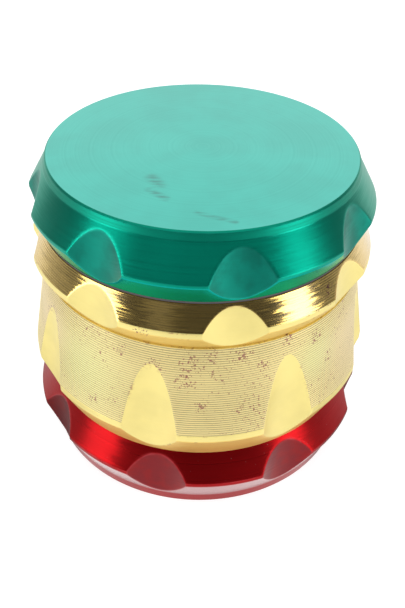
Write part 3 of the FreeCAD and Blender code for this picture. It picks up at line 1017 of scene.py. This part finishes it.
def nearness(nodes, place, azimuth, height, radius):
    """How near a place is to the middle of a patch on the gold sections, from 0 at its edge to 1."""
    middle = Vector(polar(np.interp(height, GOLD_LEVELS, GOLD_RADII), azimuth, height)) * MM
    return nodes.span(nodes.vector("DISTANCE", place, middle, "Value"), radius * MM, 0.0)


def painted_reflection_tints(nodes, place, dye):
    """Broad patches of painted reflection, where the drum is painted greener or pinker."""
    for colour, patches in ((GREENER_REFLECTION_GOLD, GREENER_REFLECTION_PATCHES), (PINKER_REFLECTION_GOLD, PINKER_REFLECTION_PATCHES)):
        for patch in patches:
            dye = nodes.mix(nearness(nodes, place, *patch), dye, colour)
    return dye


# Specks: cells per metre in each layer of them, and their size as a share of a cell
SPECK_CELLS = (1700.0, 2600.0, 4000.0)
SPECK_SIZE = 0.72


def speckled(thinnest, thickest, nodes, place, dye):
    """Red-brown pits, dense in the patches for them and as thin as given elsewhere."""
    dense = nodes.clouds(place, SPECK_THICKETS, 0.35, 0.75, thinnest, thickest)
    for patch in SPECK_PATCHES:
        dense = nodes.math("MAXIMUM", dense, nearness(nodes, place, *patch))
    ragged = nodes.clouds(place, RAGGED_SPECKS, 0.3, 0.7, -0.2, 0.2)
    for cells in SPECK_CELLS:
        distance = nodes.add("TexVoronoi", {"Vector": place, "Scale": cells}, "Distance")
        chance = nodes.span(distance.node.outputs["Color"], 0.5, 0.85, 0.0, SPECK_SIZE)
        size = nodes.math("MULTIPLY_ADD", dense, chance, ragged)
        inside = nodes.span(nodes.math("SUBTRACT", size, distance), 0.0, 0.15, 0.0, 0.85)
        pit = nodes.math("MULTIPLY", inside, nodes.span(chance, 0.0, 0.05))
        dye = nodes.mix(pit, dye, SPECK_BROWN)
    return dye


# Dark smears on the lid: start and end on its top face, half width, and how they are hatched along X
LID_SMEARS = (
    ((-7.9, -11.0), (-6.6, -13.1), 1.7),
    ((-8.0, -14.8), (-5.4, -17.2), 1.1),
    ((-0.8, -21.1), (4.9, -23.4), 0.8),
)
SMEAR_STRETCH = (0.2, 1.0, 0.0)
SMEAR_DARK = 0.55


def smeared(nodes, place, dye):
    """Rubbed marks on the top of the lid."""
    hatched = nodes.vector("MULTIPLY", place, SMEAR_STRETCH)
    rough = nodes.clouds(hatched, SMEAR_HATCHING, 0.3, 0.65, detail=3.0)
    for start, end, width in LID_SMEARS:
        first = Vector((*start, LID_TOP)) * MM
        run = Vector((*end, LID_TOP)) * MM - first
        from_first = nodes.vector("SUBTRACT", place, first)
        along = nodes.vector("DOT_PRODUCT", from_first, run / run.length_squared, "Value")
        on_run = nodes.stretched(run, nodes.add("Clamp", {"Value": along}))
        distance = nodes.vector("DISTANCE", from_first, on_run, "Value")
        smear = nodes.math("MULTIPLY", nodes.span(distance, width * MM, 0.0, 0.0, SMEAR_DARK), rough)
        dye = nodes.mix(smear, dye, SMEAR_GREEN)
    return dye


def dusty(nodes, place, dye):
    """A few pale grains of dust."""
    grains = nodes.math("GREATER_THAN", nodes.noise(place, DUST_GRAINS, 1.0), DUST_LEVEL)
    return nodes.mix(nodes.math("MULTIPLY", grains, DUST_SHARE), dye, DUST)


def plain_metal(name, colour, roughness, grain):
    """Undyed metal with a fine grain."""
    nodes, shader = surface(name)
    cloud = nodes.noise(nodes.place(), grain, 4.0)
    shade = nodes.mix(nodes.span(cloud, 0.3, 0.7), rgba(colour), scaled(colour, GRAIN_SHADE))
    rough = nodes.span(cloud, 0.3, 0.7, roughness, roughness * GRAIN_ROUGHER)
    nodes.fill(shader, {"Base Color": shade, "Metallic": 1.0, "Roughness": rough})


def slip_plastic(name):
    """Smooth grey washer plastic with turning lines."""
    nodes, shader = surface(name)
    lines = turned_lines(nodes, WASHER_LINES)
    shade = nodes.mix(lines, rgba(WASHER_GREY), WASHER_DARK)
    rough = nodes.span(lines, 0.2, 0.8, 0.35, 0.5)
    nodes.fill(shader, {"Base Color": shade, "Metallic": 0.0, "Roughness": rough})


# Finishes, each with its roughness
# Edge marks: rubbed wear with a painted highlight along the edges
green_worn_highlit_edges = (partial(worn_highlit_edges, GREEN_WORN_HIGHLIT_EDGE),)
green_blotches = partial(mottled, scaled(SCOOP_GREEN, 0.75))
red_worn_highlit_edges = (partial(worn_highlit_edges, RED_WORN_HIGHLIT_EDGE),)
red_blotches = partial(mottled, scaled(RED, 0.7))
gold_wear = (partial(speckled, 0.0, 0.0), chipped_edges)
# Drum marks: real specks and chips, with painted reflection tints and painted shade in the groove bottoms
drum_wear_and_painted_light = (painted_reflection_tints, painted_valley_shade, partial(speckled, 0.1, 0.6), chipped_edges)

anodised("green_turned", GREEN, 0.37, streak=0.5, lines=0.005, sway=0.02, marks=green_worn_highlit_edges)
anodised("green_band", GREEN, 0.45, streak=0.3, lines=0.004, coat=0.1, marks=green_worn_highlit_edges)
anodised("green_bevel", BEVEL_GREEN, 0.17, streak=0.5, lines=0.002, glance=GREEN_GLANCE, marks=green_worn_highlit_edges)
anodised("green_top", BLASTED_GREEN, 0.42, streak=0.3, lines=0.003, tone=0.04, coat=0.9, marks=(smeared,))
anodised("green_scoop", SCOOP_GREEN, 0.42, grain=0.003, coat=0.15, marks=(green_blotches, *green_worn_highlit_edges))
anodised("gold_mirror", GOLD, 0.2, streak=0.4, lines=0.003, sway=0.06, coat=1.0, marks=gold_wear)
anodised("gold_grooved", DRUM_GOLD, 0.5, streak=0.3, lines=0.003, coat=0.5, metallic=0.4, marks=drum_wear_and_painted_light)
for name, dye in (("gold_bevel", BEVEL_GOLD), ("gold_land", PALE_GOLD)):
    anodised(name, dye, 0.4, streak=0.4, lines=0.003, coat=0.2, metallic=0.6, marks=gold_wear)
anodised("gold_scoop", PALE_GOLD, 0.45, grain=0.003, coat=0.3, metallic=0.5, marks=(chipped_edges,))
anodised("red_turned", RED, 0.31, streak=0.6, lines=0.002, sway=0.02, coat=0.04, marks=(*red_worn_highlit_edges, dusty))
anodised("red_bevel", RED, 0.22, streak=0.4, lines=0.003, coat=1.0, marks=red_worn_highlit_edges)
anodised("red_foot", RED, 0.3, streak=0.4, lines=0.003, coat=0.4, marks=red_worn_highlit_edges)
anodised("red_scoop", SCOOP_RED, 0.42, grain=0.003, coat=0.25, marks=(red_blotches, *red_worn_highlit_edges))
for name, dye in (("green_inside", GREEN), ("gold_inside", GOLD), ("red_inside", RED)):
    anodised(name, dye, 0.35, streak=0.4, lines=0.005)
plain_metal("steel_mesh", STEEL_WIRE, 0.3, grain=800.0)
plain_metal("steel_ring", SPRING_STEEL, 0.28, grain=500.0)
plain_metal("nickel", NICKEL, 0.15, grain=300.0)
slip_plastic("slip_plastic")

# Pieces, from the bottom up
powder_tray()
collector_drum()
sieve_mesh()
turned_ring("sieve_retainer", "sieve_retaining_ring", "steel_ring", RETAINER_BORE, RETAINER_ROUND)
grinding_chamber()
magnet("chamber_magnet_disc", "chamber_magnet")
turned_ring("slip_washer", "friction_ring", "slip_plastic", SKIRT_RADIUS, WASHER_ROUND)
lid()
magnet("lid_magnet_disc", "lid_magnet")

# Camera, solved from the turned edges in the photograph, with its focal length in pixels
PHOTO_LONG_SIDE = 608
FOCAL_PIXELS = 780.485
SENSOR = 36.0
NEAREST_SEEN = 10.0
CAMERA_PLACE = (0.0, -118.52, 116.10)
CAMERA_PITCH = math.radians(38.222)
CAMERA_YAW = math.radians(0.265)
CAMERA_ROLL = math.radians(1.348)

# Floor: its size and white, and how bright it is in metal before, behind and beside the object
FLOOR_RADIUS = 320.0
FLOOR_SIDES = 96
FLOOR_WHITE = 0.45
FLOOR_GLOW = 0.75
FRONT_GLOW = 0.7
BACK_GLOW = 0.5
SIDE_GLOW = 0.5

# Where that brightness fades in, in metres, and how far it draws in to the sides
FRONT_FAR_FADE = (-0.13, -0.035)
FRONT_NEAR_FADE = (0.0, -0.012)
FRONT_SLANT = 0.5
BACK_FADE = (0.04, 0.12)
SIDE_FADE = (0.035, 0.05)

# Room: its light, how bright it is in metal, and where that fades as a share of a direction's Y or Z
AMBIENT = 1.15
ROOM_DIM = 0.03
BEHIND_WHITE = 1.05
FAR_TABLE = 0.4
WINDOW_WHITE = 0.22
BEHIND_FADE = (0.45, 0.65)
ABOVE_FADE = (0.36, 0.78)
BELOW_FADE = (0.08, -0.02)
WINDOW_DIRECTION = polar(0.93, -25.0, 0.37)
WINDOW_EDGE = (0.98, 0.992)
SOFTBOX_DISTANCE = 500.0


def add_camera():
    camera = add_object("camera", bpy.data.cameras.new("camera"))
    camera.data.sensor_width = SENSOR
    camera.data.lens = FOCAL_PIXELS / PHOTO_LONG_SIDE * SENSOR
    camera.data.clip_start = NEAREST_SEEN * MM
    place = Matrix.Translation(Vector(CAMERA_PLACE) * MM)
    yaw = Matrix.Rotation(-CAMERA_YAW, 4, "Z")
    pitch = Matrix.Rotation(math.pi / 2 - CAMERA_PITCH, 4, "X")
    roll = Matrix.Rotation(CAMERA_ROLL, 4, "Z")
    camera.matrix_world = place @ yaw @ pitch @ roll
    bpy.context.scene.camera = camera


def add_floor():
    """Table top that keeps the object's shadow. It looks white to the camera, and less so in metal."""
    mesh = bpy.data.meshes.new("floor")
    rim = circle(FLOOR_RADIUS, 0.0, FLOOR_SIDES) * MM
    mesh.from_pydata(rim.tolist(), [], [list(range(FLOOR_SIDES))])
    floor = add_object("floor", mesh)
    material = bpy.data.materials.new("white_table")
    material.use_nodes = True
    material.node_tree.nodes.clear()
    mesh.materials.append(material)
    nodes = Nodes(material.node_tree)
    ray = nodes.add("LightPath").node.outputs
    seen = nodes.math("MAXIMUM", ray["Is Camera Ray"], ray["Is Transmission Ray"])
    place = nodes.axes(nodes.place())
    sideways = nodes.math("ABSOLUTE", place["X"])
    ahead = nodes.math("MULTIPLY_ADD", sideways, FRONT_SLANT, place["Y"])
    far_fade = nodes.span(ahead, *FRONT_FAR_FADE, 0.0, FRONT_GLOW)
    near_fade = nodes.span(ahead, *FRONT_NEAR_FADE, 0.0, FRONT_GLOW)
    in_front = nodes.math("MINIMUM", far_fade, near_fade)
    at_back = nodes.span(place["Y"], *BACK_FADE, 0.0, BACK_GLOW)
    beside = nodes.span(sideways, *SIDE_FADE, 0.0, SIDE_GLOW)
    mirrored = nodes.math("MAXIMUM", in_front, nodes.math("MAXIMUM", at_back, beside))
    in_metal = nodes.math("MULTIPLY", ray["Is Glossy Ray"], mirrored)
    glow = nodes.add("Emission", {"Strength": nodes.math("MULTIPLY_ADD", seen, FLOOR_GLOW, in_metal)})
    paper = nodes.add("BsdfDiffuse", {"Color": rgba(scaled(WHITE, FLOOR_WHITE))})
    nodes.show("Material", nodes.add("AddShader", {0: paper, 1: glow}))


def add_softbox(name, azimuth, elevation, width, height, radiance):
    """Upright soft light that faces the object."""
    lamp = bpy.data.lights.new(name, "AREA")
    lamp.shape = "RECTANGLE"
    lamp.size = width * MM
    lamp.size_y = height * MM
    lamp.energy = radiance * math.pi * lamp.size * lamp.size_y
    box = add_object(name, lamp)
    level = SOFTBOX_DISTANCE * math.cos(math.radians(elevation))
    rise = SOFTBOX_DISTANCE * math.sin(math.radians(elevation))
    box.location = Vector(polar(level, azimuth, rise)) * MM
    box.rotation_euler = box.location.to_track_quat("Z", "Y").to_euler()


def add_room():
    """Plain white light all round. In metal the room is dim in front of the object, white behind and above,
    and grey below, where the table goes on, with a faint window in front."""
    world = bpy.data.worlds.new("room")
    world.use_nodes = True
    world.node_tree.nodes.clear()
    bpy.context.scene.world = world
    nodes = Nodes(world.node_tree)
    towards = nodes.add("TexCoord", output="Generated")
    direction = nodes.axes(towards)
    behind = nodes.span(direction["Y"], *BEHIND_FADE, 0.0, BEHIND_WHITE)
    above = nodes.span(direction["Z"], *ABOVE_FADE, ROOM_DIM, 1.0)
    below = nodes.span(direction["Z"], *BELOW_FADE, 0.0, FAR_TABLE)
    facing = nodes.vector("DOT_PRODUCT", towards, WINDOW_DIRECTION, "Value")
    window = nodes.span(facing, *WINDOW_EDGE, 0.0, WINDOW_WHITE)
    room = nodes.math("MAXIMUM", nodes.math("MAXIMUM", behind, above), nodes.math("MAXIMUM", below, window))
    ray = nodes.add("LightPath").node.outputs
    plain = nodes.add("Mix", {0: ray["Is Diffuse Ray"], 2: 1.0, 3: AMBIENT}, data_type="FLOAT")
    strength = nodes.add("Mix", {0: ray["Is Glossy Ray"], 2: plain, 3: room}, data_type="FLOAT")
    nodes.show("World", nodes.add("Background", {"Color": rgba(WHITE), "Strength": strength}))


add_camera()
add_floor()
add_room()
add_softbox("left_softbox", azimuth=-62.0, elevation=6.0, width=190.0, height=220.0, radiance=4.2)
add_softbox("right_softbox", azimuth=61.0, elevation=6.0, width=170.0, height=220.0, radiance=4.5)

bpy.context.scene.view_settings.view_transform = "Standard"
